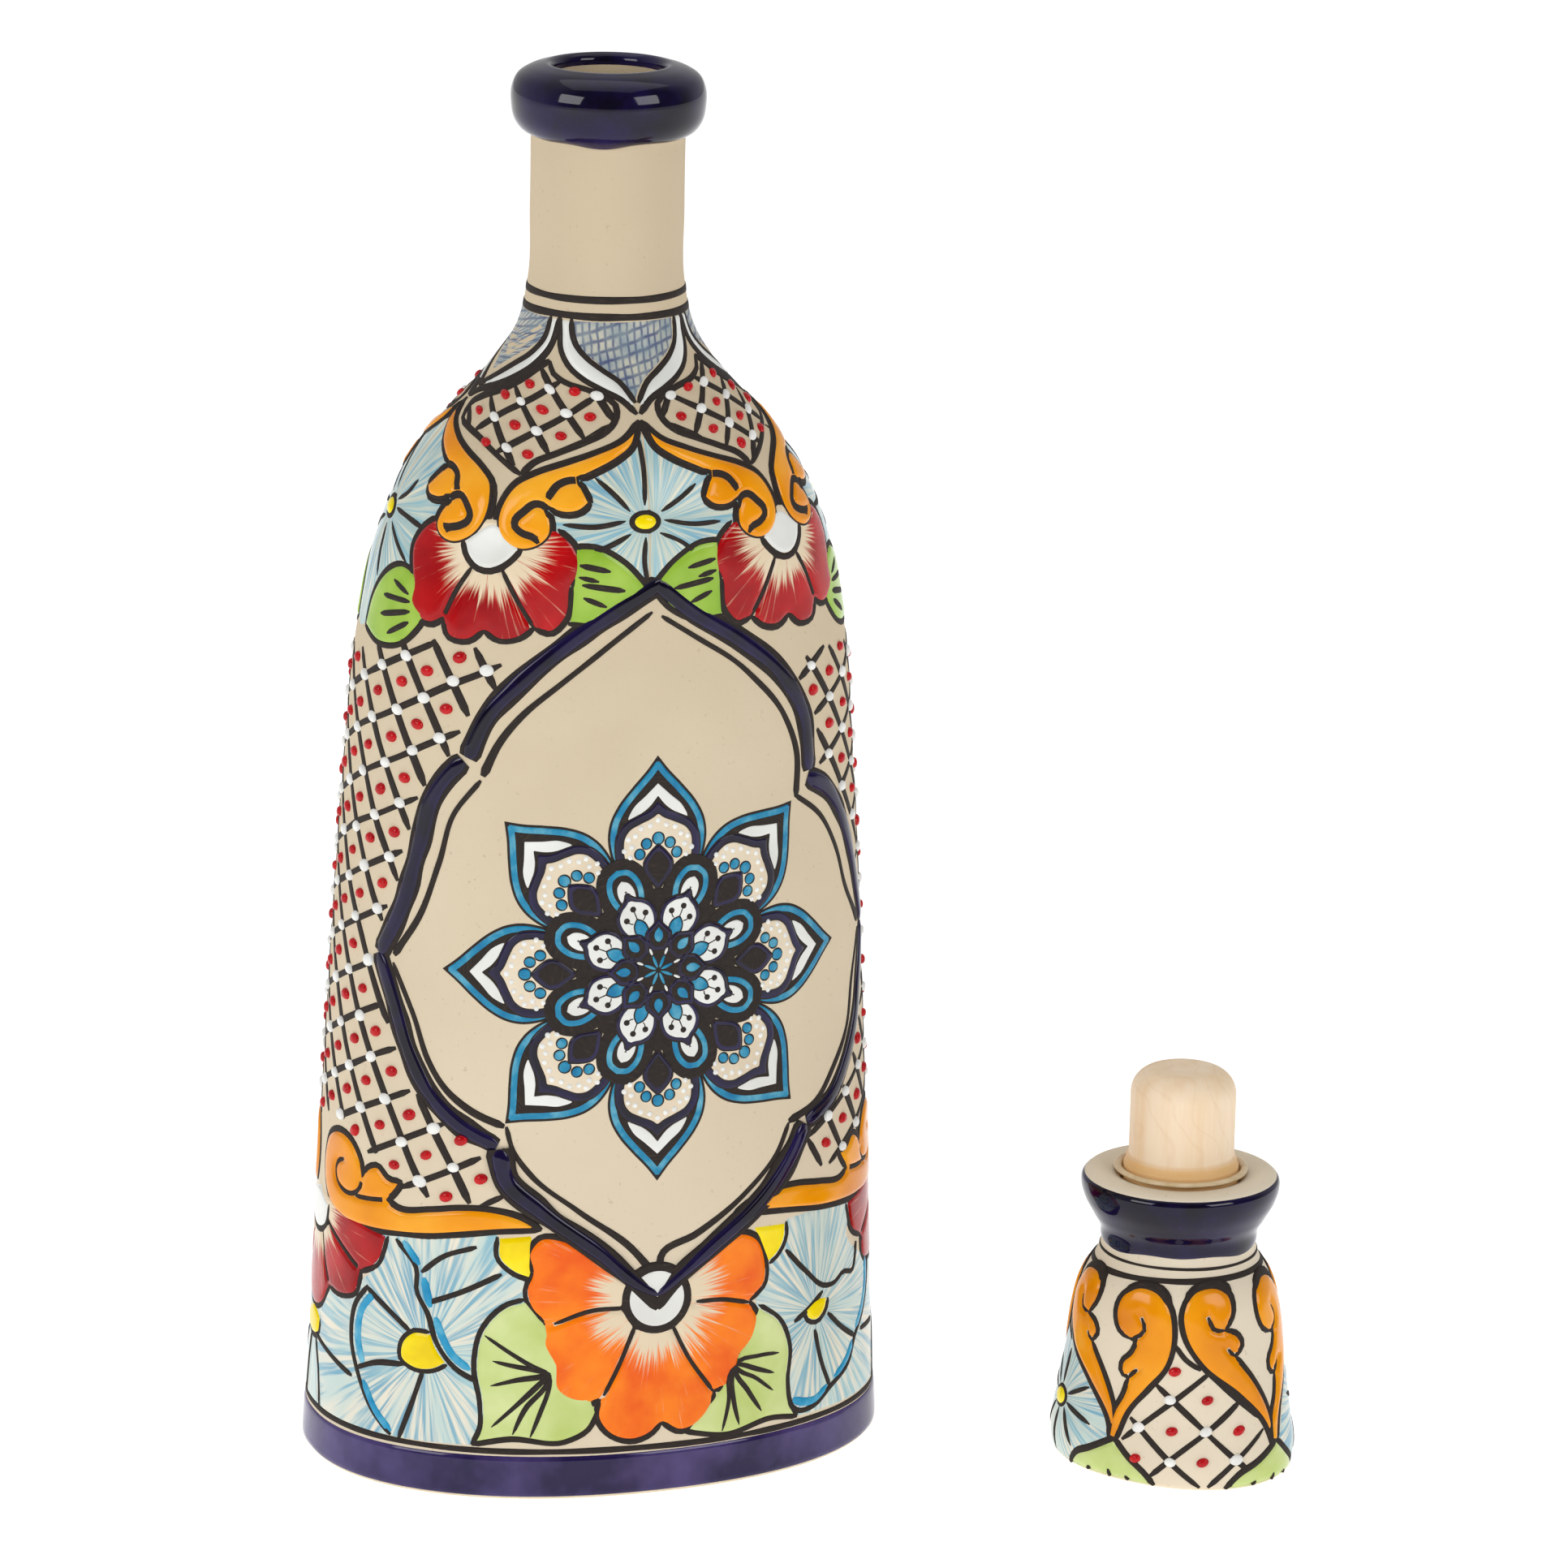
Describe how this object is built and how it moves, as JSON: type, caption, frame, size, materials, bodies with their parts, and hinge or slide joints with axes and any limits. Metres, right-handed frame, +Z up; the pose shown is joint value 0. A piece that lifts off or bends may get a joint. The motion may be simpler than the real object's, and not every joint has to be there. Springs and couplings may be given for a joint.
{
  "type": "stoppered decanter",
  "caption": "Flattened oval pottery decanter with a narrow round neck, raised painted glaze and a separate ceramic stopper on a turned wooden bung.",
  "frame": {"origin": "centre of the decanter's flat underside, on the surface it stands on", "axes": "+Z up along the neck, -Y out of the broad decorated front face, X along the long axis of the oval body"},
  "size_m": [0.1946, 0.1225, 0.2889],
  "materials": {
    "glazed_body": "unglazed bisque ground with raised coloured glazes and matte black lines",
    "glazed_cap": "unglazed bisque ground with raised coloured glazes and a cobalt rim",
    "turned_wood": "fine sanded pale close-grained wood",
    "dried_glue": "dried translucent amber glue"
  },
  "bodies": {
    "decanter": {"decanter_body": "glazed_body"},
    "stopper": {"stopper_cap": "glazed_cap", "bung": "turned_wood", "adhesive_ring": "dried_glue"}
  },
  "joints": [
    {"name": "stopper_turn_over", "type": "hinge", "parent": "decanter", "child": "stopper", "pos_m": [0.0551, -0.0266, 0.1884], "axis": [-0.4348, -0.9006, 0], "range_deg": [0, 180]}
  ]
}
